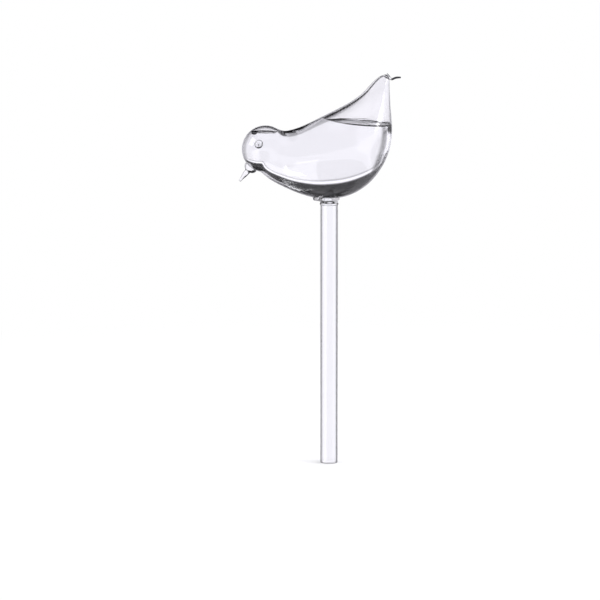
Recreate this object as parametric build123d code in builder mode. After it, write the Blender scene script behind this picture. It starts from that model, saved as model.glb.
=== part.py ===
from build123d import *
from math import cos, radians, sin
import os

# Plant watering globe: a blown glass bird on a long tube stem, in millimetres.
# The stem runs along +Z from its open mouth at the origin, the head looks to -X and the tail rises to +X.
# The two halves of the bird mirror each other across the XZ plane.

# Stem
stem_length = 184.0  # from the mouth up to the lowest point of the belly
stem_radius = 6.0
stem_wall = 1.2
mouth_polish = 0.45  # rounding of the fire-polished mouth

# Blown bird, measured with the stem upright
bulb_length = 102.9  # from the front of the head to the rump, along X
bulb_height = 85.7  # from the belly to the top of the tail, along Z
bulb_width = 54.0  # across the breast, along Y
bulb_wall = 1.2
head_radius = 16.3

# Solid beak, drawn from a bead of glass on the head
beak_length = 12.2
beak_bead_radius = 4.8
beak_bead_height = 3.3
beak_waist_radius = 2.1
beak_tip_radius = 0.95
beak_sink = 1.6  # how far the bead reaches under the surface of the head

# Eyes, clear beads pressed on the sides of the head
eye_radius = 2.9
eye_height = 1.7

# Drawn thread that seals the tail
thread_reach = 8.9
thread_dip = 2.0
thread_root_radius = 1.7

# Seal between the bulb and the stem
flange_overhang = 2.8  # how far the flange stands out past its throat
flange_shift = 1.8  # the flange sits off the stem's axis, towards the head
flange_rounding = 0.45
throat_wall = 0.4  # how far the throat of the seal stands out past the stem
seal_height = 3.1  # from the lowest point of the belly down to the ring
ring_overhang = 0.45
ring_height = 1.3

# Angles in the XZ plane, counted from +X towards +Z
beak_angle = 231.0
brow_angle = 158.4  # the point of the head farthest from the neck
head_reach_angle = 90.0  # from the brow back to the last round slice of the head
eye_angle = 131.0  # the plane between the eyes
eye_spread_angle = 64.0  # each eye, sideways from that plane

# Centre of the head from the top of the stem, as shares of the bulb's length and height
head_centre_share = (-0.4237, 0.3980)

# Slices of the body from the neck to the tip of the tail: X and Z of the top, X and Z of the bottom, width,
# as shares of the bulb's length, height and width
body_slice_shares = (
    (-0.2993, 0.5449, -0.3916, 0.1517, 0.599),
    (-0.2575, 0.5519, -0.3003, 0.0933, 0.649),
    (-0.1759, 0.5846, -0.1438, 0.0198, 0.784),
    (-0.0952, 0.6301, 0.1127, 0.0187, 0.976),
    (-0.0146, 0.6803, 0.3207, 0.1972, 0.944),
    (0.1040, 0.7526, 0.4179, 0.5099, 0.679),
    (0.2109, 0.8390, 0.4082, 0.7433, 0.388),
    (0.3061, 0.9557, 0.4014, 0.9067, 0.190),
    (0.3819, 1.0000, 0.3994, 0.9615, 0.068),
)

# Round slices of the head, as shares of the way from the brow to the last of them
head_slice_shares = (0.08, 0.3, 0.65, 1.0)

neck_slice_count = 2  # slices of the body that the form of the head runs through
tip_slice_count = 1  # slices of the tail's tip that the hollow does not reach

# Outline of the bead under the beak, as shares of the bead's radius and height
beak_bead_shares = (
    (0.97, 0.1),
    (0.86, 0.45),
    (0.64, 0.78),
)

# Flange from its throat up into the belly: share of the seal's height below the belly, share of the overhang
flange_shares = (
    (1.0, 0.0),
    (0.68, 0.05),
    (0.46, 0.25),
    (0.30, 1.0),
    (-0.8, 1.0),
)

# Middle line of the thread from the tip of the tail, as shares of its reach and dip
thread_path_shares = (
    (0.0, 0.0),
    (0.30, -1.0),
    (0.58, -0.55),
    (1.0, -0.4),
)

# Thickness of the thread: share of the way along it, share of its root's radius
thread_radius_shares = (
    (0.0, 0.75),
    (0.2, 0.5),
    (0.45, 0.33),
    (0.75, 0.24),
    (1.0, 0.16),
)

head_centre = Vector(
    head_centre_share[0] * bulb_length,
    0,
    stem_length + head_centre_share[1] * bulb_height,
)


def bulb_point(x_share, z_share):
    """Point of the bulb's outline in the XZ plane."""
    return Vector(x_share * bulb_length, 0, stem_length + z_share * bulb_height)


def upright_direction(angle):
    """Unit vector in the XZ plane."""
    return Vector(cos(radians(angle)), 0, sin(radians(angle)))


# Slices of the bulb as top point, bottom point and half width: round ones over the head, then the body's
brow = head_centre + upright_direction(brow_angle) * head_radius
bulb_slices = [(brow, brow, 0)]
for reach_share in head_slice_shares:
    reach = head_reach_angle * reach_share
    top = head_centre + upright_direction(brow_angle - reach) * head_radius
    bottom = head_centre + upright_direction(brow_angle + reach) * head_radius
    bulb_slices.append((top, bottom, (top - bottom).length / 2))
for top_x, top_z, bottom_x, bottom_z, width in body_slice_shares:
    bulb_slices.append((bulb_point(top_x, top_z), bulb_point(bottom_x, bottom_z), width * bulb_width / 2))


def inset_points(points, distance):
    """Points of an outline moved to the right of the way along it, in the XZ plane."""
    outline = Spline(*points)
    ways = [outline.tangent_at(point) for point in points]
    return [point + Vector(way.Z, 0, -way.X) * distance for point, way in zip(points, ways)]


def bulb_sections(inset, slice_count):
    """The brow and the oval slices behind it, all moved in by the same distance."""
    sections = [Vertex(*(brow - upright_direction(brow_angle) * inset))]
    tops = inset_points([top for top, bottom, half_width in bulb_slices], inset)
    bottoms = inset_points([bottom for top, bottom, half_width in bulb_slices], -inset)
    half_widths = [half_width - inset for top, bottom, half_width in bulb_slices]
    for top, bottom, half_width in list(zip(tops, bottoms, half_widths))[1:slice_count]:
        up = top - bottom
        plane = Plane(origin=(top + bottom) / 2, x_dir=up, z_dir=(up.Z, 0, -up.X))
        with BuildSketch(plane) as section:
            Ellipse(up.length / 2, min(up.length / 2, half_width))
        sections.append(section.sketch)
    return sections


# Outer form of the bulb, lofted over the head and over the body, which share the last slice of the neck
neck_slice = len(head_slice_shares) + neck_slice_count
outer_sections = bulb_sections(0, len(bulb_slices))
with BuildPart() as bulb_form:
    loft(outer_sections[: neck_slice + 1])
    loft(outer_sections[neck_slice:])

# Hollow of the bulb, which stops short of the solid tip of the tail
inner_sections = bulb_sections(bulb_wall, len(bulb_slices) - tip_slice_count)
with BuildPart() as hollow_form:
    loft(inner_sections[: neck_slice + 1])
    loft(inner_sections[neck_slice:])

# Blown bird, open at the belly where the stem is sealed on
bore_radius = stem_radius - stem_wall
with BuildPart() as bird_bulb:
    add(bulb_form.part)
    add(hollow_form.part, mode=Mode.SUBTRACT)
    with BuildSketch(Plane.XY.offset(stem_length - seal_height)):
        Circle(bore_radius)
    extrude(amount=2 * seal_height, mode=Mode.SUBTRACT)
bird_bulb.part.label = "bird_bulb"

# Stem tube, fire-polished at its mouth and butted under the ring of the seal
stem_top = stem_length - seal_height - ring_height
with BuildPart() as stem_tube:
    with BuildSketch():
        Circle(stem_radius)
        Circle(bore_radius, mode=Mode.SUBTRACT)
    extrude(amount=stem_top)
    mouth_edges = stem_tube.edges().filter_by(GeomType.CIRCLE).group_by(Axis.Z)[0]
    fillet(mouth_edges, mouth_polish)
stem_tube.part.label = "stem_tube"

# Ring of the seal, the bead of the joint between the stem and the flange, round on its outside
with BuildPart() as seal_ring:
    with BuildSketch(Plane.XZ):
        with Locations((stem_radius - stem_wall / 2, stem_top + ring_height / 2)):
            Rectangle(stem_wall, ring_height)
        with Locations((stem_radius, stem_top + ring_height / 2)):
            Ellipse(ring_overhang, ring_height / 2)
    revolve(axis=Axis.Z)
seal_ring.part.label = "seal_ring"

# Flange of the seal, flaring from its throat to an off-centre disc against the belly, with the bore through it
with BuildPart() as seal_flange:
    for height_share, radius_share in flange_shares:
        with BuildSketch(Plane.XY.offset(stem_length - height_share * seal_height)):
            with Locations((-flange_shift * radius_share, 0)):
                Circle(stem_radius + throat_wall + flange_overhang * radius_share)
    loft(ruled=True)
    flange_rim = seal_flange.edges().sort_by(SortBy.LENGTH)[-3:].sort_by(Axis.Z)[0]
    fillet(flange_rim, flange_rounding)
    add(bulb_form.part, mode=Mode.SUBTRACT)
    with BuildSketch():
        Circle(bore_radius)
    extrude(amount=stem_length + seal_height, mode=Mode.SUBTRACT)
seal_flange.part.label = "seal_flange"

# Beak, a bead on the head drawn out to a blunt point
beak_direction = upright_direction(beak_angle)
beak_plane = Plane(
    origin=head_centre + beak_direction * head_radius,
    x_dir=(beak_direction.Z, 0, -beak_direction.X),
    z_dir=(0, -1, 0),
)
beak_tip_start = (beak_tip_radius, beak_length - beak_tip_radius)
with BuildPart() as beak:
    with BuildSketch(beak_plane):
        with BuildLine():
            Line((0, -beak_sink), (beak_bead_radius, -beak_sink))
            Spline(
                (beak_bead_radius, -beak_sink),
                *[(x * beak_bead_radius, y * beak_bead_height) for x, y in beak_bead_shares],
                (beak_waist_radius, beak_bead_height),
                beak_tip_start,
                tangents=((0, 1), (beak_tip_radius - beak_waist_radius, beak_length - beak_bead_height)),
            )
            CenterArc((0, beak_length - beak_tip_radius), beak_tip_radius, 0, 90)
            Line((0, beak_length), (0, -beak_sink))
        make_face()
    revolve(axis=Axis(beak_plane.origin, beak_direction))
    add(bulb_form.part, mode=Mode.SUBTRACT)
beak.part.label = "beak"

# Eyes, each a ball seated in the side of the head
eye_ball_radius = (eye_radius**2 + eye_height**2) / (2 * eye_height)


def eye_seat(side):
    """Centre of an eye's ball, on the side of the head named by its sign along Y."""
    forward = upright_direction(eye_angle) * cos(radians(eye_spread_angle))
    direction = forward + Vector(0, side * sin(radians(eye_spread_angle)), 0)
    return head_centre + direction * (head_radius + eye_height - eye_ball_radius)


with BuildPart() as eye_left:
    with Locations(eye_seat(-1)):
        Sphere(eye_ball_radius)
    add(bulb_form.part, mode=Mode.SUBTRACT)
eye_left.part.label = "eye_left"

with BuildPart() as eye_right:
    with Locations(eye_seat(1)):
        Sphere(eye_ball_radius)
    add(bulb_form.part, mode=Mode.SUBTRACT)
eye_right.part.label = "eye_right"

# Thread on the tail, drawn from a small bead that closes the tip
last_top_x, last_top_z, last_bottom_x, last_bottom_z, last_width = body_slice_shares[-1]
tail_tip = (bulb_point(last_top_x, last_top_z) + bulb_point(last_bottom_x, last_bottom_z)) / 2
with BuildLine() as thread_line:
    thread_path = Spline(
        *[tail_tip + Vector(x * thread_reach, 0, z * thread_dip) for x, z in thread_path_shares],
        tangents=((1, 0, -1), (1, 0, 0)),
    )
with BuildPart() as tail_thread:
    for path_share, radius_share in thread_radius_shares:
        with BuildSketch(Plane(origin=thread_path @ path_share, z_dir=thread_path % path_share)):
            Circle(radius_share * thread_root_radius)
    loft()
    with Locations(tail_tip):
        Sphere(thread_root_radius)
    add(bulb_form.part, mode=Mode.SUBTRACT)
tail_thread.part.label = "tail_thread"

pieces = (bird_bulb, stem_tube, seal_flange, seal_ring, beak, eye_left, eye_right, tail_thread)
os.makedirs("parts", exist_ok=True)
for piece in pieces:
    export_step(piece.part, "parts/" + piece.part.label + ".step")
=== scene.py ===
import bpy
import bmesh
from math import cos, sin, pi, radians
from mathutils import Matrix, Vector
from mathutils.bvhtree import BVHTree


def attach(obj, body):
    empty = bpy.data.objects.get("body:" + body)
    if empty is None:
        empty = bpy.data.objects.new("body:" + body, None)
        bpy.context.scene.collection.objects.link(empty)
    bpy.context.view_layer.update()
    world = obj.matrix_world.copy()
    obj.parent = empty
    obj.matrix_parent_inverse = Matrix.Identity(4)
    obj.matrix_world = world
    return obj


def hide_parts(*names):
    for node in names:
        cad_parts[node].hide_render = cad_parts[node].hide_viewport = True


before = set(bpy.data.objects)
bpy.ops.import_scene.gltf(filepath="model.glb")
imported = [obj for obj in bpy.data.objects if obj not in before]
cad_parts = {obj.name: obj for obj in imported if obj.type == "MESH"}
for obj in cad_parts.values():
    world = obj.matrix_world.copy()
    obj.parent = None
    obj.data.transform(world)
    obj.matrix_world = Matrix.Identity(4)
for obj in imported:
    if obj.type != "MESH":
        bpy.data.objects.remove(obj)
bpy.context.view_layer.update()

mm = 0.001  # sizes of the globe are in millimetres, and go into the meshes in metres
print("frame loaded:", sorted(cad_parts))

# Camera: a long lens, a little above the globe, in millimetres and degrees
cameraSet = {
    "distance": 4000.0,
    "elevation": 9.0,
    "viewWidth": 412.8,  # what the picture's width covers at the globe
    "aim": (-20.0, 0.0, 113.4),
    "sensor": 36.0,
    "nearest": 50.0,
    "farthest": 100000.0,
}


def makeCamera(s):
    data = bpy.data.cameras.new("camera")
    data.sensor_width = s["sensor"]
    data.lens = s["sensor"] * s["distance"] / s["viewWidth"]
    data.clip_start = s["nearest"] * mm
    data.clip_end = s["farthest"] * mm
    camera = bpy.data.objects.new("camera", data)
    tilt = radians(s["elevation"])
    back = Vector((0, -cos(tilt), sin(tilt)))
    camera.location = Vector(s["aim"]) * mm + back * s["distance"] * mm
    camera.rotation_euler = (-back).to_track_quat("-Z", "Y").to_euler()
    bpy.context.scene.collection.objects.link(camera)
    bpy.context.scene.camera = camera


makeCamera(cameraSet)
print("camera set")

# Glass and water. The wave is the slow swell that the flame leaves in a wall, the smear is the roughness
# of the film of handling, and the rim is the span of facing over which a painted dark rim shade comes in.
# A wall seen edge on is a longer path through the glass, but that darkens it only a little: the dark rim
# tint is painted shade.
glassSet = {
    "blown": {
        "tint": (0.985, 0.985, 0.992), "ior": 1.47, "smear": 0.012,
        "waveSize": 14.0, "waveDepth": 0.020,
        "rim": (0.52, 0.84), "paintedRimShade": (0.20, 0.20, 0.21),
    },
    "drawn": {
        "tint": (0.985, 0.987, 0.990), "ior": 1.47, "smear": 0.010,
        "waveSize": 9.0, "waveDepth": 0.010,
        "rim": (0.15, 0.80), "paintedRimShade": (0.22, 0.22, 0.23),
    },
    "worked": {
        "tint": (0.975, 0.980, 0.985), "ior": 1.47, "smear": 0.015,
        "waveSize": 3.0, "waveDepth": 0.015,
        "rim": (0.45, 0.90), "paintedRimShade": (0.12, 0.12, 0.13),
    },
    "water": {
        "tint": (0.992, 0.994, 1.0), "ior": 1.333, "smear": 0.0,
        "waveSize": 30.0, "waveDepth": 0.004,
        "rim": (0.50, 0.90), "paintedRimShade": (0.80, 0.80, 0.82),
    },
}
commonSet = {
    "waveDetail": 1.0,
    "shadeShare": 0.985,  # of the tint, on the low side of the swell
    "filmSize": 6.0,
    "filmDetail": 3.0,
    "filmRange": (0.45, 0.75),  # span of the noise over which the film comes in
}
smokeSet = {
    "clearTo": 42.0,  # X along the thread, whose end is smoked by the flame that burns it off
    "smokedFrom": 42.8,
    "smoke": (0.05, 0.05, 0.055),
}


def clearMaterial(name, s):
    material = bpy.data.materials.new(name)
    material.use_nodes = True
    nodes, links = material.node_tree.nodes, material.node_tree.links
    shader = nodes["Principled BSDF"]
    shader.inputs["Transmission Weight"].default_value = 1.0
    shader.inputs["IOR"].default_value = s["ior"]
    place = nodes.new("ShaderNodeTexCoord")

    wave = nodes.new("ShaderNodeTexNoise")  # slow swell of the wall
    wave.inputs["Scale"].default_value = 1 / (s["waveSize"] * mm)
    wave.inputs["Detail"].default_value = s["waveDetail"]
    links.new(place.outputs["Object"], wave.inputs["Vector"])
    bump = nodes.new("ShaderNodeBump")
    bump.inputs["Strength"].default_value = 1.0
    bump.inputs["Distance"].default_value = s["waveDepth"] * mm
    links.new(wave.outputs["Fac"], bump.inputs["Height"])
    links.new(bump.outputs["Normal"], shader.inputs["Normal"])

    tint = nodes.new("ShaderNodeValToRGB")  # the glass is a touch darker where the swell is low
    tint.color_ramp.elements[0].color = (*[c * s["shadeShare"] for c in s["tint"]], 1)
    tint.color_ramp.elements[1].color = (*s["tint"], 1)
    links.new(wave.outputs["Fac"], tint.inputs["Fac"])
    facing = nodes.new("ShaderNodeLayerWeight")  # painted shade: a wall seen edge on is darkened towards the rim tint; the longer path through the glass is only a small part of it
    rim = nodes.new("ShaderNodeMapRange")
    rim.interpolation_type = "SMOOTHSTEP"
    rim.inputs["From Min"].default_value = s["rim"][0]
    rim.inputs["From Max"].default_value = s["rim"][1]
    links.new(facing.outputs["Facing"], rim.inputs["Value"])
    # painted dark rim shade, mixed into the glass colour where a wall is seen edge on
    colour = nodes.new("ShaderNodeMix")
    colour.name = "tintAndPaintedRim"
    colour.data_type = "RGBA"
    links.new(rim.outputs["Result"], colour.inputs["Factor"])
    links.new(tint.outputs["Color"], colour.inputs["A"])
    # the near-black colour of the painted rim shade
    colour.inputs["B"].default_value = (*s["paintedRimShade"], 1)
    links.new(colour.outputs["Result"], shader.inputs["Base Color"])

    film = nodes.new("ShaderNodeTexNoise")  # faint film of handling
    film.inputs["Scale"].default_value = 1 / (s["filmSize"] * mm)
    film.inputs["Detail"].default_value = s["filmDetail"]
    links.new(place.outputs["Object"], film.inputs["Vector"])
    haze = nodes.new("ShaderNodeMapRange")
    haze.inputs["From Min"].default_value = s["filmRange"][0]
    haze.inputs["From Max"].default_value = s["filmRange"][1]
    haze.inputs["To Min"].default_value = 0.0
    haze.inputs["To Max"].default_value = s["smear"]
    links.new(film.outputs["Fac"], haze.inputs["Value"])
    links.new(haze.outputs["Result"], shader.inputs["Roughness"])
    return material


def smokedMaterial(name, s):
    material = clearMaterial(name, s)
    nodes, links = material.node_tree.nodes, material.node_tree.links
    split = nodes.new("ShaderNodeSeparateXYZ")
    links.new(nodes["Texture Coordinate"].outputs["Object"], split.inputs["Vector"])
    along = nodes.new("ShaderNodeMapRange")
    along.inputs["From Min"].default_value = s["clearTo"] * mm
    along.inputs["From Max"].default_value = s["smokedFrom"] * mm
    links.new(split.outputs["X"], along.inputs["Value"])
    mix = nodes.new("ShaderNodeMix")
    mix.data_type = "RGBA"
    links.new(along.outputs["Result"], mix.inputs["Factor"])
    links.new(nodes["tintAndPaintedRim"].outputs["Result"], mix.inputs["A"])
    mix.inputs["B"].default_value = (*s["smoke"], 1)
    links.new(mix.outputs["Result"], nodes["Principled BSDF"].inputs["Base Color"])
    return material


materials = {kind: clearMaterial(kind + "Glass", {**commonSet, **glassSet[kind]}) for kind in glassSet}
materials["smoked"] = smokedMaterial("smokedGlass", {**commonSet, **glassSet["worked"], **smokeSet})
print("materials made")

# Tools that the pieces share
toolSet = {
    "sharpAngle": 50.0,  # creases sharper than this stay crisp
    "weld": 0.0005,  # points closer than this become one
    "cutTolerance": 0.0001,
    "sweeps": 60,  # passes after which a smooth line no longer moves
}


def meshObject(bm, name):  # an object of the scene from a bmesh, which is spent
    mesh = bpy.data.meshes.new(name)
    bm.to_mesh(mesh)
    bm.free()
    thing = bpy.data.objects.new(name, mesh)
    bpy.context.scene.collection.objects.link(thing)
    return thing


def wrapPiece(bm, name, node, kind):  # the mesh becomes a piece, with its faces as they are
    piece = meshObject(bm, name)
    piece.data.shade_smooth()
    piece.data.set_sharp_from_angle(angle=radians(toolSet["sharpAngle"]))
    piece.data.materials.append(materials[kind])
    if node:
        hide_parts(node)
    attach(piece, "root")
    return piece


def finishPiece(bm, name, node, kind):  # the same, after its normals are recalculated
    bmesh.ops.recalc_face_normals(bm, faces=bm.faces)
    return wrapPiece(bm, name, node, kind)


def smoothLine(points, steps):  # cubic spline through the points, with even steps from each to the next
    points = [Vector(p) for p in points]
    pulls = list(points)
    for sweep in range(toolSet["sweeps"]):
        for i in range(1, len(points) - 1):
            pulls[i] = (points[i] * 6 - pulls[i - 1] - pulls[i + 1]) / 4
    pulls = [pulls[0] * 2 - pulls[1]] + pulls + [pulls[-1] * 2 - pulls[-2]]
    line = []
    for i in range(len(points) - 1):
        a, b, c, d = pulls[i:i + 4]
        for k in range(steps):
            t = k / steps
            line.append((a * (1 - t) ** 3 + b * (3 * t ** 3 - 6 * t ** 2 + 4)
                         + c * (-3 * t ** 3 + 3 * t ** 2 + 3 * t + 1) + d * t ** 3) / 6)
    return line + [points[-1]]


def wayAt(line, i):  # direction of a line at one of its points
    return (line[min(i + 1, len(line) - 1)] - line[max(i - 1, 0)]).normalized()


def aimed(spot, way):  # stands a shape's own Z along a direction, at a spot
    return Matrix.Translation(spot) @ way.to_track_quat("Z", "Y").to_matrix().to_4x4()


def arcPoints(centre, radius, start, end, count):  # the angles are in degrees
    turns = [radians(start + (end - start) * i / count) for i in range(count + 1)]
    return [(centre[0] + radius * cos(turn), centre[1] + radius * sin(turn)) for turn in turns]


def ringChain(bm, frames, segments):  # skin over slices, each a matrix that places the unit circle
    first = bmesh.ops.create_circle(bm, cap_ends=False, radius=1, segments=segments, matrix=frames[0])
    verts = first["verts"]
    edges = list(dict.fromkeys(edge for vert in verts for edge in vert.link_edges))
    rings = [verts]
    for before, here in zip(frames, frames[1:]):
        grown = bmesh.ops.extrude_edge_only(bm, edges=edges)["geom"]
        verts = [g for g in grown if isinstance(g, bmesh.types.BMVert)]
        fresh = set(verts)
        edges = [g for g in grown if isinstance(g, bmesh.types.BMEdge) and fresh.issuperset(g.verts)]
        bmesh.ops.transform(bm, matrix=here @ before.inverted(), verts=verts)
        rings.append(verts)
    return rings


def closeRing(bm, verts, tip):  # fan of faces from an open end to one point
    edges = list(dict.fromkeys(edge for vert in verts for edge in vert.link_edges if edge.is_boundary))
    grown = bmesh.ops.extrude_edge_only(bm, edges=edges)["geom"]
    fresh = [g for g in grown if isinstance(g, bmesh.types.BMVert)]
    bmesh.ops.pointmerge(bm, verts=fresh, merge_co=tip)


def beyond(frames, share):  # point past the last slice, by a share of the last step
    return frames[-1].translation + (frames[-1].translation - frames[-2].translation) * share


# Solid of revolution from a profile of radius and height; one that isn't closed begins and ends on the axis
def spinPiece(profile, name, node, kind, segments, place=Matrix.Identity(4), closed=True):
    bm = bmesh.new()
    verts = [bm.verts.new((r * mm, 0, z * mm)) for r, z in profile]
    ends = list(zip(verts, verts[1:])) + ([(verts[-1], verts[0])] if closed else [])
    edges = [bm.edges.new(pair) for pair in ends]
    bmesh.ops.spin(bm, geom=verts + edges, cent=(0, 0, 0), axis=(0, 0, 1), angle=2 * pi,
                   steps=segments, use_merge=True)
    bmesh.ops.remove_doubles(bm, verts=bm.verts, dist=toolSet["weld"] * mm)
    bmesh.ops.transform(bm, matrix=place, verts=bm.verts)
    return finishPiece(bm, name, node, kind)


def rod(name, radius, low, high, segments):  # upright cylinder on the stem's axis, to cut or add with
    bm = bmesh.new()
    middle = Matrix.Translation((0, 0, (high + low) / 2 * mm))
    bmesh.ops.create_cone(bm, cap_ends=True, segments=segments, radius1=radius * mm, radius2=radius * mm,
                          depth=(high - low) * mm, matrix=middle)
    return meshObject(bm, name)


def combined(bm, other, operation):  # a bmesh with another object's solid cut out of it or added to it
    thing = meshObject(bm, "working")
    modifier = thing.modifiers.new("combine", "BOOLEAN")
    modifier.operation = operation
    modifier.solver = "EXACT"
    modifier.object = other
    bpy.context.view_layer.update()
    result = bpy.data.meshes.new_from_object(thing.evaluated_get(bpy.context.evaluated_depsgraph_get()))
    bm = bmesh.new()
    bm.from_mesh(result)
    for spent in (thing, other):
        bpy.data.objects.remove(spent)
    return bm


# The blown bird. Its head is a ball, and its body a chain of slices with a smooth skin over them.
bird = {
    "bellyHeight": 184.0,  # lowest point of the belly above the mouth of the stem
    "headCentre": (-43.6, 34.1),  # X, and height above the belly, as all heights of the bird
    "headRadius": 16.3,
    "browAngle": 158.4,
    "headSlices": 7,
    "headReach": 100.0,  # degrees of the head's circle from the brow to its last slice
    "bodySlices": [  # X and Z of the top, X and Z of the bottom, and half width as a share of half height
        (-30.8, 46.7, -40.3, 13.0, 0.93),
        (-26.5, 47.3, -30.9, 8.0, 0.89),
        (-22.3, 48.5, -23.4, 4.6, 0.87),
        (-18.1, 50.1, -14.8, 1.7, 0.87),
        (-13.9, 52.0, -4.1, -0.1, 0.89),
        (-9.8, 54.0, 11.6, 1.6, 0.91),
        (-5.6, 56.2, 25.0, 8.6, 0.93),
        (-1.5, 58.3, 33.0, 16.9, 0.94),
        (2.6, 60.3, 38.1, 25.2, 0.94),
        (6.7, 62.4, 41.5, 34.3, 0.95),
        (10.7, 64.5, 43.0, 43.7, 0.95),
        (14.5, 66.7, 43.0, 51.8, 0.95),
        (18.2, 69.2, 42.5, 58.2, 0.95),
        (21.7, 71.9, 42.0, 63.7, 0.96),
        (25.0, 75.1, 41.7, 68.9, 0.96),
        (28.2, 78.6, 41.4, 73.7, 0.96),
        (31.5, 81.9, 41.3, 77.7, 0.97),
        (35.1, 84.5, 41.2, 80.9, 0.98),
        (38.9, 85.6, 41.2, 83.0, 0.98),
    ],
    "wall": 1.2,
    "backWallShares": [  # slice counted from the brow, and the share of the wall that is there
        (0, 0.8), (7, 0.9), (10, 1.4), (16, 1.6), (22, 1.4), (26, 0.6),
    ],
    "underWallShares": [(0, 1.0), (18, 1.0), (20, 0.5), (26, 0.35)],
    "steps": 6,  # rings from one slice to the next
    "firstRing": 2,  # the ones before it are too small, and the brow closes over them
    "solidRings": 3,  # rings at the tip of the tail that the hollow doesn't reach
    "tipShare": 0.6,  # how far the tip lies past the last ring, as a share of the last step
    "boreReach": 6.0,  # how far above and below the belly the hole for the stem is cut
    "segments": 128,
}


def headPoint(s, degrees, depth=0):  # on the head's circle, or inside it, in the plane of symmetry
    centre = Vector((s["headCentre"][0], 0, s["headCentre"][1]))
    way = Vector((cos(radians(degrees)), 0, sin(radians(degrees))))
    return centre + way * (s["headRadius"] - depth)


def onHead(way):  # stands a bead on the head, along a direction from the head's centre
    centre = Vector((bird["headCentre"][0], 0, bird["bellyHeight"] + bird["headCentre"][1]))
    return aimed((centre + way * bird["headRadius"]) * mm, way)


def birdLines(s):  # top, bottom and half width of the outer form, from the brow to the tip of the tail
    rows = []
    for i in range(s["headSlices"] + 1):
        reach = s["headReach"] * i / s["headSlices"]
        top, bottom = headPoint(s, s["browAngle"] - reach), headPoint(s, s["browAngle"] + reach)
        rows.append((top, bottom, (top - bottom).length / 2))
    for topX, topZ, bottomX, bottomZ, roundness in s["bodySlices"]:
        top, bottom = Vector((topX, 0, topZ)), Vector((bottomX, 0, bottomZ))
        rows.append((top, bottom, (top - bottom).length / 2 * roundness))
    tops = smoothLine([row[0] for row in rows], s["steps"])
    bottoms = smoothLine([row[1] for row in rows], s["steps"])
    widths = [v.x for v in smoothLine([(row[2], 0, 0) for row in rows], s["steps"])]
    return tops, bottoms, widths


def sideStep(line, i, distance, side):  # point of a line moved square to it
    way = wayAt(line, i)
    return line[i] + Vector((way.z, 0, -way.x)) * distance * side


def shareAt(table, place):  # share from a table of places, with straight steps between them
    for (before, low), (after, high) in zip(table, table[1:]):
        if place <= after:
            return low + (high - low) * (place - before) / (after - before)
    return table[-1][1]


def ellipseFrame(top, bottom, halfWidth):  # places the unit circle as an ellipse across the body
    up = (top - bottom) / 2
    across = Vector((0, halfWidth, 0))
    out = across.cross(up)
    axes = Matrix((up, across, out.normalized() * up.length)).transposed().to_4x4()
    return Matrix.Translation((top + bottom) / 2) @ axes


def birdForm(bm, s, inset, leaveOut):  # closed skin, moved in, less some rings at the tip of the tail
    tops, bottoms, widths = birdLines(s)
    lift = Matrix.Translation((0, 0, s["bellyHeight"] * mm)) @ Matrix.Scale(mm, 4)
    frames = []
    for i in range(s["firstRing"], len(tops) - leaveOut):
        above = inset * shareAt(s["backWallShares"], i / s["steps"])
        below = inset * shareAt(s["underWallShares"], i / s["steps"])
        beside = min(inset, (above + below) / 2)
        top, bottom = sideStep(tops, i, above, 1), sideStep(bottoms, i, below, -1)
        frames.append(lift @ ellipseFrame(top, bottom, widths[i] - beside))
    rings = ringChain(bm, frames, s["segments"])
    closeRing(bm, rings[0], lift @ headPoint(s, s["browAngle"], inset))
    closeRing(bm, rings[-1], beyond(frames, s["tipShare"]))
    bmesh.ops.recalc_face_normals(bm, faces=bm.faces)


# The stem's sizes, which the bird is bored for
stem = {
    "radius": 6.0,
    "wall": 1.2,
    "polish": 0.45,  # rounding of the mouth, as the flame leaves it
    "polishSteps": 6,
    "top": 179.6,  # where the tube meets the ring of the seal
    "rows": 40,
    "segments": 96,
}


def makeBird(s):
    bm = bmesh.new()
    birdForm(bm, s, 0, 0)
    inner = bmesh.new()
    birdForm(inner, s, s["wall"], s["solidRings"])
    bmesh.ops.reverse_faces(inner, faces=inner.faces)
    hollow = bpy.data.meshes.new("hollow")
    inner.to_mesh(hollow)
    inner.free()
    bm.from_mesh(hollow)
    low, high = s["bellyHeight"] - s["boreReach"], s["bellyHeight"] + s["boreReach"]
    bore = rod("bore", stem["radius"] - stem["wall"], low, high, stem["segments"])
    bm = combined(bm, bore, "DIFFERENCE")
    return wrapPiece(bm, "birdGlass", "bird_bulb", "blown")


birdGlass = makeBird(bird)
print("bird blown:", len(birdGlass.data.polygons), "faces")


def makeStem(s):
    inner, outer, top, polish = s["radius"] - s["wall"], s["radius"], s["top"], s["polish"]
    profile = arcPoints((outer - polish, polish), polish, 0, -90, s["polishSteps"])
    profile += arcPoints((inner + polish, polish), polish, -90, -180, s["polishSteps"])
    profile += [(inner, polish + (top - polish) * i / s["rows"]) for i in range(1, s["rows"] + 1)]
    profile += [(outer, top - (top - polish) * i / s["rows"]) for i in range(0, s["rows"])]
    return spinPiece(profile, "stemGlass", "stem_tube", "drawn", s["segments"])


makeStem(stem)
print("stem drawn")

# The seal: an off-centre flange pressed against the belly, its throat, and a ring under it
seal = {
    "throatRadius": 6.4,
    "discRadius": 9.4,
    "discShift": -1.9,
    "foot": -3.1,  # heights are above the belly's lowest point
    "throatRun": 0.6,
    "flare": [(-1.9, 0.25, 0.05), (-1.35, 0.8, 0.25)],  # height, out from the throat, share of the shift
    "edge": [  # height, in from the disc's radius, share of the shift
        (-1.0, 0.55, 0.9), (-0.75, 0.12, 1.0), (-0.4, 0.0, 1.0), (0.0, 0.0, 1.0),
    ],
    "top": 1.2,
    "topIn": 0.1,
    "sink": 0.5,  # how deep the disc lies in the belly's wall
    "sunkFrom": 0.3,
    "searchReach": 5.0,  # the belly's wall is looked for this far above and below its lowest point
    "steps": 4,
    "ringHeight": 1.3,
    "ringProud": 0.45,
    "ringSteps": 18,
    "segments": 96,
}


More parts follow.
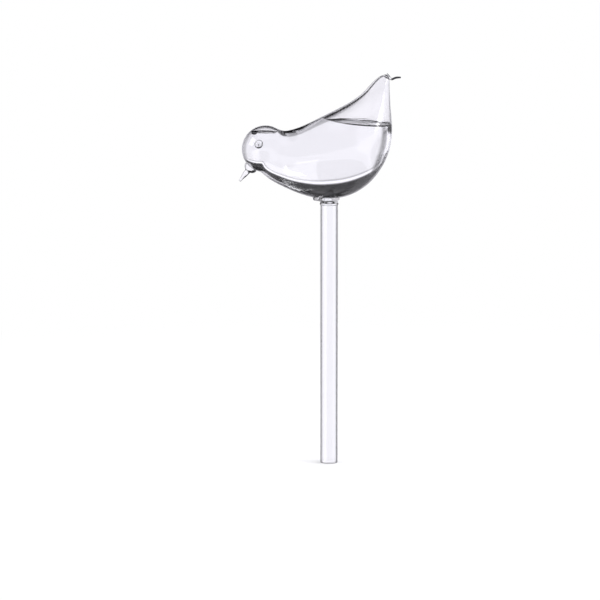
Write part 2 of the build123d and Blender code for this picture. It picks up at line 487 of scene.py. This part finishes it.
def makeFlange(s):
    bm = bmesh.new()
    belly = bird["bellyHeight"]
    throat, disc, shift = s["throatRadius"], s["discRadius"], s["discShift"]
    rows = [(s["foot"], throat, 0), (s["foot"] + s["throatRun"], throat, 0)]
    rows += [(z, throat + out, share * shift) for z, out, share in s["flare"]]
    rows += [(z, disc - less, share * shift) for z, less, share in s["edge"]]
    rows += [(s["top"], disc - s["topIn"], shift)]
    line = smoothLine(rows, s["steps"])
    frames = []
    for p in line:
        frames.append(Matrix.Translation((p.z * mm, 0, (belly + p.x) * mm)) @ Matrix.Scale(p.y * mm, 4))
    bore = Matrix.Scale((stem["radius"] - stem["wall"]) * mm, 4)
    frames += [Matrix.Translation((0, 0, (belly + z) * mm)) @ bore for z in (s["top"], s["foot"])]
    ringChain(bm, frames, s["segments"])
    bmesh.ops.bridge_loops(bm, edges=[e for e in bm.edges if e.is_boundary])
    surface = BVHTree.FromObject(birdGlass, bpy.context.evaluated_depsgraph_get())
    for vert in bm.verts:  # the top of the disc follows the belly
        if vert.co.z > (belly + s["sunkFrom"]) * mm:
            under = Vector((vert.co.x, vert.co.y, (belly - s["searchReach"]) * mm))
            hit = surface.ray_cast(under, Vector((0, 0, 1)))[0]
            if hit and hit.z < (belly + s["searchReach"]) * mm:
                vert.co.z = hit.z + s["sink"] * mm
    return finishPiece(bm, "flangeGlass", "seal_flange", "worked")


def makeRing(s):
    inner, outer, proud = stem["radius"] - stem["wall"], stem["radius"], s["ringProud"]
    low, high = stem["top"], stem["top"] + s["ringHeight"]
    middle, half = (low + high) / 2, s["ringHeight"] / 2
    turns = [radians(-90 + 180 * i / s["ringSteps"]) for i in range(s["ringSteps"] + 1)]
    profile = [(inner, high), (inner, middle), (inner, low)]
    profile += [(outer + proud * cos(turn), middle + half * sin(turn)) for turn in turns]
    return spinPiece(profile, "ringGlass", "seal_ring", "worked", s["segments"])


makeFlange(seal)
makeRing(seal)
print("seal made")

# Beak: a pressed bead on the head, drawn out to a blunt point
beak = {
    "angle": 231.0,
    "length": 12.2,
    "sink": 1.0,
    "beadRadius": 4.8,
    "beadHeight": 3.3,
    "rootShare": 0.93,
    "beadShares": [(0.97, 0.1), (0.86, 0.45), (0.64, 0.78)],  # of the bead's radius and of its height
    "waist": 2.1,
    "drawn": [(1.0, 0.0), (0.9, 2.0), (0.75, 4.0)],  # share of the waist, and height above the bead
    "tip": 0.95,
    "tipRun": 1.5,
    "tipFlare": 1.1,
    "tipAngles": (10, 90),
    "tipSteps": 7,
    "steps": 5,
    "segments": 64,
}


def makeBeak(s):
    bead, high, tip = s["beadRadius"], s["beadHeight"], s["tip"]
    top = s["length"] - tip
    outline = [(bead * s["rootShare"], -s["sink"])]
    outline += [(bead * across, high * up) for across, up in s["beadShares"]]
    outline += [(s["waist"] * across, high + up) for across, up in s["drawn"]]
    outline += [(tip * s["tipFlare"], top - s["tipRun"]), (tip, top)]
    line = [(p.x, p.y) for p in smoothLine([(r, z, 0) for r, z in outline], s["steps"])]
    profile = [(0, -s["sink"])] + line + arcPoints((0, top), tip, *s["tipAngles"], s["tipSteps"])
    turn = radians(s["angle"])
    place = onHead(Vector((cos(turn), 0, sin(turn))))
    return spinPiece(profile, "beakGlass", "beak", "worked", s["segments"], place, False)


makeBeak(beak)
print("beak drawn")

# Eyes: clear beads pressed on the sides of the head
eye = {
    "angle": 131.0,
    "spread": 64.0,  # degrees out of the plane of symmetry
    "radius": 2.9,
    "height": 2.0,
    "sink": 0.7,
    "rootShare": 0.9,
    "domeAngles": (-5, 90),
    "domeSinkShare": 0.8,  # the dome begins above this share of the sink
    "steps": 16,
    "segments": 64,
}


def makeEye(s, side, name, node):
    ball = (s["radius"] ** 2 + s["height"] ** 2) / (2 * s["height"])
    dome = arcPoints((0, s["height"] - ball), ball, *s["domeAngles"], s["steps"])
    profile = [(0, -s["sink"]), (s["radius"] * s["rootShare"], -s["sink"])]
    profile += [(r, z) for r, z in dome if z > -s["sink"] * s["domeSinkShare"]]
    turn, spread = radians(s["angle"]), radians(s["spread"])
    place = onHead(Vector((cos(turn) * cos(spread), side * sin(spread), sin(turn) * cos(spread))))
    return spinPiece(profile, name, node, "worked", s["segments"], place, False)


makeEye(eye, -1, "eyeLeftGlass", "eye_left")
makeEye(eye, 1, "eyeRightGlass", "eye_right")
print("eyes pressed")

# Drawn thread at the tip of the tail
thread = {
    "root": 1.7,  # radius of the small bead that it starts as
    "reach": 8.9,
    "dip": 2.0,
    "buried": (-1.0, 0.5),  # its first point, inside the tip of the tail
    "pathShares": [  # of the reach and of the dip
        (0, 0), (0.14, -0.6), (0.30, -1.0), (0.45, -0.8), (0.58, -0.55), (0.75, -0.42), (1.0, -0.4),
    ],
    "thickShares": [1.0, 0.8, 0.55, 0.45, 0.42, 0.42, 0.40, 0.30],  # of the root, one for each point
    "endShare": 0.4,  # how far its end lies past the last ring, as a share of the last step
    "steps": 6,
    "segments": 32,
}


def makeThread(s):
    bm = bmesh.new()
    topX, topZ, bottomX, bottomZ = bird["bodySlices"][-1][:4]
    start = Vector((topX + bottomX, 0, topZ + bottomZ)) / 2
    points = [(start.x + s["buried"][0], 0, start.z + s["buried"][1])]
    points += [(start.x + x * s["reach"], 0, start.z + z * s["dip"]) for x, z in s["pathShares"]]
    line = smoothLine(points, s["steps"])
    widths = smoothLine([(share * s["root"], 0, 0) for share in s["thickShares"]], s["steps"])
    frames = []
    for i, p in enumerate(line):
        spot = Vector((p.x, 0, p.z + bird["bellyHeight"])) * mm
        frames.append(aimed(spot, wayAt(line, i)) @ Matrix.Scale(widths[i].x * mm, 4))
    rings = ringChain(bm, frames, s["segments"])
    closeRing(bm, rings[0], beyond([frames[1], frames[0]], 1))
    closeRing(bm, rings[-1], beyond(frames, s["endShare"]))
    return finishPiece(bm, "threadGlass", "tail_thread", "smoked")


makeThread(thread)
print("thread drawn")

# Water: it fills the bird to a level in the tail, leaves air in the crown, and stands in the stem
water = {
    "overlap": 0.3,  # it reaches into the wall, so that no film of air lies between them
    "solidRings": 10,  # the tip of the tail, which is above its level
    "level": 53.4,  # above the belly, at levelX
    "levelX": 20.0,
    "tilt": 4.6,
    "pocketLevel": 46.2,
    "pocketReach": -29.3,  # the crown is what lies before this X
    "lip": 2.6,  # how far from the wall the surface begins to creep up
    "lipRise": 1.5,
    "lipShares": [  # of the lip and of its rise, from the wall inwards
        (0.06, 0.28), (0.1, 0.26), (0.15, 0.2), (0.2, 0.14), (0.24, 0.08), (0.25, 0.04),
    ],
    "pocketLipShares": (0.7, 0.6),  # of the lip and of its rise, under the pocket
    "mouthRise": 0.6,  # where it stands in the mouth of the stem
    "columnOverlap": 0.15,
    "columnRise": 4.0,
}


def cutFlat(bm, geom, point, normal, lip, rise):  # cuts the water at a level, with a lip up the wall
    cut = bmesh.ops.bisect_plane(bm, geom=geom, dist=toolSet["cutTolerance"] * mm, plane_co=point,
                                 plane_no=normal, clear_outer=True)
    rim = [g for g in cut["geom_cut"] if isinstance(g, bmesh.types.BMEdge)]
    surface = bmesh.ops.contextual_create(bm, geom=rim)["faces"]
    for inwards, fall in water["lipShares"]:
        bmesh.ops.inset_region(bm, faces=surface, thickness=lip * mm * inwards, depth=-rise * mm * fall)


def makeWater(s):
    bm = bmesh.new()
    birdForm(bm, bird, bird["wall"] - s["overlap"], s["solidRings"])
    belly = bird["bellyHeight"]
    tilt = radians(s["tilt"])
    level = Vector((s["levelX"], 0, belly + s["level"])) * mm
    whole = bm.verts[:] + bm.edges[:] + bm.faces[:]
    cutFlat(bm, whole, level, Vector((sin(tilt), 0, cos(tilt))), s["lip"], s["lipRise"])
    faces = [f for f in bm.faces if all(v.co.x < s["pocketReach"] * mm for v in f.verts)]
    crown = list(dict.fromkeys(v for f in faces for v in f.verts))
    crown += list(dict.fromkeys(e for f in faces for e in f.edges)) + faces
    pocket = Vector((0, 0, belly + s["pocketLevel"])) * mm
    lipShare, riseShare = s["pocketLipShares"]
    cutFlat(bm, crown, pocket, Vector((0, 0, 1)), s["lip"] * lipShare, s["lipRise"] * riseShare)
    radius = stem["radius"] - stem["wall"] + s["columnOverlap"]
    column = rod("column", radius, s["mouthRise"], belly + s["columnRise"], stem["segments"])
    bm = combined(bm, column, "UNION")
    return wrapPiece(bm, "waterFill", None, "water")


waterFill = makeWater(water)
print("water filled:", len(waterFill.data.polygons), "faces")

# Floor and room, in metres and degrees. Each room has its light by degrees round the globe, counted from
# straight behind it, its light by height, and its panels: left, right, low and high edge, light, and how
# wide the soft edge is.
studio = {
    "backdrop": (1.0, 1.0, 1.0),  # what the camera sees behind the globe
    "floorSize": 12.0,
    "floorCells": 8,
    "floorColour": (0.93, 0.93, 0.94),
    "floorRoughness": 0.9,
    "floorSpecular": 0.1,
    "fadeStart": 0.10,  # the floor fades into the backdrop from here outwards
    "fadeEnd": 0.60,
    "through": {  # the room as it is seen through the glass, bright but for a few black panels
        "around": [(-90.0, 0.86), (-60.0, 0.88), (-25.0, 1.0), (25.0, 1.0), (60.0, 0.88), (90.0, 0.86)],
        "rise": [
            (-60.0, 1.0), (-31.0, 1.05), (8.4, 1.05), (9.0, 0.58), (10.2, 0.58),
            (10.8, 1.35), (13.2, 1.35), (14.2, 0.02), (58.0, 0.02), (70.0, 0.2),
        ],
        "panels": [
            (-40.0, 30.0, -62.0, -42.0, 0.02, 5.0),
            (16.0, 30.0, -60.0, -38.0, 0.55, 3.0),
            (-147.0, -104.0, -54.0, -1.0, 1.6, 3.0),
            (-39.0, -33.0, -40.0, 10.0, 0.25, 8.0),
            (36.0, 42.0, -40.0, 10.0, 0.60, 8.0),
            (28.0, 90.0, 21.0, 50.0, 0.95, 3.0),
        ],
    },
    "mirrored": {  # the room as the skin of the glass mirrors it, dark but for a few windows
        "around": [
            (-125.0, 0.03), (-100.0, 0.45), (-64.0, 0.40), (-50.0, 0.02), (-38.0, 0.02), (-29.0, 0.50),
            (-16.0, 0.97), (24.0, 1.0), (40.0, 0.42), (62.0, 0.55), (100.0, 0.55), (125.0, 0.03),
        ],
        "rise": [
            (-44.0, 0.02), (-31.0, 1.10), (8.4, 1.10), (9.0, 0.58), (10.2, 0.58),
            (10.8, 1.35), (13.2, 1.35), (14.2, 0.02), (50.0, 0.02), (58.0, 0.7),
        ],
        "panels": [
            (28.0, 90.0, 21.0, 50.0, 0.95, 3.0),
            (16.0, 90.0, -60.0, -38.0, 0.55, 3.0),
            (-147.0, -104.0, -54.0, -1.0, 1.6, 3.0),
        ],
    },
    "overhead": (50.0, 55.0),  # the light by height takes over all round between these heights
    "sheetTint": (0.98, 0.965, 1.02),
    "dark": 0.018,  # light of the room where no sheet stands round the globe
    "darkTint": (1.0, 1.0, 1.2),
}


def makeFloor(s):
    bm = bmesh.new()
    bmesh.ops.create_grid(bm, x_segments=s["floorCells"], y_segments=s["floorCells"], size=s["floorSize"])
    floor = meshObject(bm, "floor")
    material = bpy.data.materials.new("paleFloor")
    material.use_nodes = True
    nodes, links = material.node_tree.nodes, material.node_tree.links
    shader = nodes["Principled BSDF"]
    shader.inputs["Base Color"].default_value = (*s["floorColour"], 1)
    shader.inputs["Roughness"].default_value = s["floorRoughness"]
    shader.inputs["Specular IOR Level"].default_value = s["floorSpecular"]
    place = nodes.new("ShaderNodeTexCoord")
    reach = nodes.new("ShaderNodeVectorMath")
    reach.operation = "LENGTH"
    links.new(place.outputs["Object"], reach.inputs[0])
    fade = nodes.new("ShaderNodeMapRange")
    fade.interpolation_type = "SMOOTHSTEP"
    fade.inputs["From Min"].default_value = s["fadeStart"]
    fade.inputs["From Max"].default_value = s["fadeEnd"]
    links.new(reach.outputs["Value"], fade.inputs["Value"])
    glow = nodes.new("ShaderNodeEmission")
    glow.inputs["Color"].default_value = (*s["backdrop"], 1)
    mix = nodes.new("ShaderNodeMixShader")
    links.new(fade.outputs["Result"], mix.inputs["Fac"])
    links.new(shader.outputs["BSDF"], mix.inputs[1])
    links.new(glow.outputs["Emission"], mix.inputs[2])
    links.new(mix.outputs["Shader"], nodes["Material Output"].inputs["Surface"])
    floor.data.materials.append(material)
    floor.visible_transmission = False  # the glass bends the light of the room, not that of the floor
    floor.visible_glossy = False


def makeWorld(s):
    world = bpy.data.worlds.new("studio")
    bpy.context.scene.world = world
    world.use_nodes = True
    nodes, links = world.node_tree.nodes, world.node_tree.links

    def formula(operation, first, second=None):
        node = nodes.new("ShaderNodeMath")
        node.operation = operation
        for socket, value in zip(node.inputs, (first, second)):
            if isinstance(value, (int, float)):
                socket.default_value = value
            elif value is not None:
                links.new(value, socket)
        return node.outputs["Value"]

    def fade(value, low, high):
        node = nodes.new("ShaderNodeMapRange")
        node.interpolation_type = "SMOOTHSTEP"
        node.inputs["From Min"].default_value = low
        node.inputs["From Max"].default_value = high
        links.new(value, node.inputs["Value"])
        return node.outputs["Result"]

    def ramp(value, stops, tint):  # light by degrees, which run from -180 to 180 along the ramp
        node = nodes.new("ShaderNodeValToRGB")
        elements = node.color_ramp.elements
        while len(elements) < len(stops):
            elements.new(0.5)
        for element, (degrees, light) in zip(elements, stops):
            element.position = degrees / 360 + 0.5
            element.color = (*[light * c for c in tint], 1)
        links.new(formula("ADD", formula("DIVIDE", value, 360.0), 0.5), node.inputs["Fac"])
        return node.outputs["Color"]

    def mixed(factor, low, high):
        node = nodes.new("ShaderNodeMix")
        node.data_type = "RGBA"
        links.new(factor, node.inputs["Factor"])
        for socket, value in ((node.inputs["A"], low), (node.inputs["B"], high)):
            if isinstance(value, tuple):
                socket.default_value = value
            else:
                links.new(value, socket)
        return node.outputs["Result"]

    def room(part):
        sheet = formula("MAXIMUM", ramp(turn, part["around"], (1, 1, 1)), fade(height, *s["overhead"]))
        dark = (*[s["dark"] * c for c in s["darkTint"]], 1)
        light = mixed(sheet, dark, ramp(height, part["rise"], s["sheetTint"]))
        for left, right, low, high, glow, soft in part["panels"]:
            within = formula("MULTIPLY", fade(turn, left - soft, left), fade(turn, right + soft, right))
            within = formula("MULTIPLY", within, fade(height, low - soft, low))
            within = formula("MULTIPLY", within, fade(height, high + soft, high))
            light = mixed(within, light, (*[glow * c for c in s["sheetTint"]], 1))
        return light

    place = nodes.new("ShaderNodeTexCoord")
    split = nodes.new("ShaderNodeSeparateXYZ")
    links.new(place.outputs["Generated"], split.inputs["Vector"])
    height = formula("DEGREES", formula("ARCSINE", split.outputs["Z"]))
    turn = formula("DEGREES", formula("ARCTAN2", split.outputs["X"], split.outputs["Y"]))
    seen = nodes.new("ShaderNodeLightPath")
    light = mixed(seen.outputs["Is Transmission Ray"], room(s["mirrored"]), room(s["through"]))
    light = mixed(seen.outputs["Is Camera Ray"], light, (*s["backdrop"], 1))
    links.new(light, nodes["Background"].inputs["Color"])
    nodes["Background"].inputs["Strength"].default_value = 1.0


# Soft boxes: place, aim and size in metres, power in watts, and whether the glass shows them
softboxes = {
    "rightLight": {
        "place": (1.24, -0.46, 0.92), "aim": (0.03, 0, 0.24), "size": (0.52, 0.71), "power": 4.6,
        "inGlass": True,
    },
    "leftLight": {
        "place": (-1.45, -0.10, 0.95), "aim": (-0.04, 0, 0.22), "size": (0.8, 0.8), "power": 5,
        "inGlass": True,
    },
    "fillLight": {
        "place": (0.2, -0.2, 3.0), "aim": (0, 0, 0.0), "size": (3.0, 3.0), "power": 105,
        "inGlass": False,  # it lights the floor only
    },
}


def makeSoftbox(name, s):
    data = bpy.data.lights.new(name, "AREA")
    data.shape = "RECTANGLE"
    data.size, data.size_y = s["size"]
    data.energy = s["power"]
    light = bpy.data.objects.new(name, data)
    light.location = s["place"]
    light.rotation_euler = (Vector(s["aim"]) - Vector(s["place"])).to_track_quat("-Z", "Y").to_euler()
    light.visible_glossy = s["inGlass"]
    light.visible_transmission = s["inGlass"]
    bpy.context.scene.collection.objects.link(light)


makeFloor(studio)
makeWorld(studio)
for lightName, lightSet in softboxes.items():
    makeSoftbox(lightName, lightSet)
bpy.context.scene.view_settings.view_transform = "Standard"
print("studio lit")
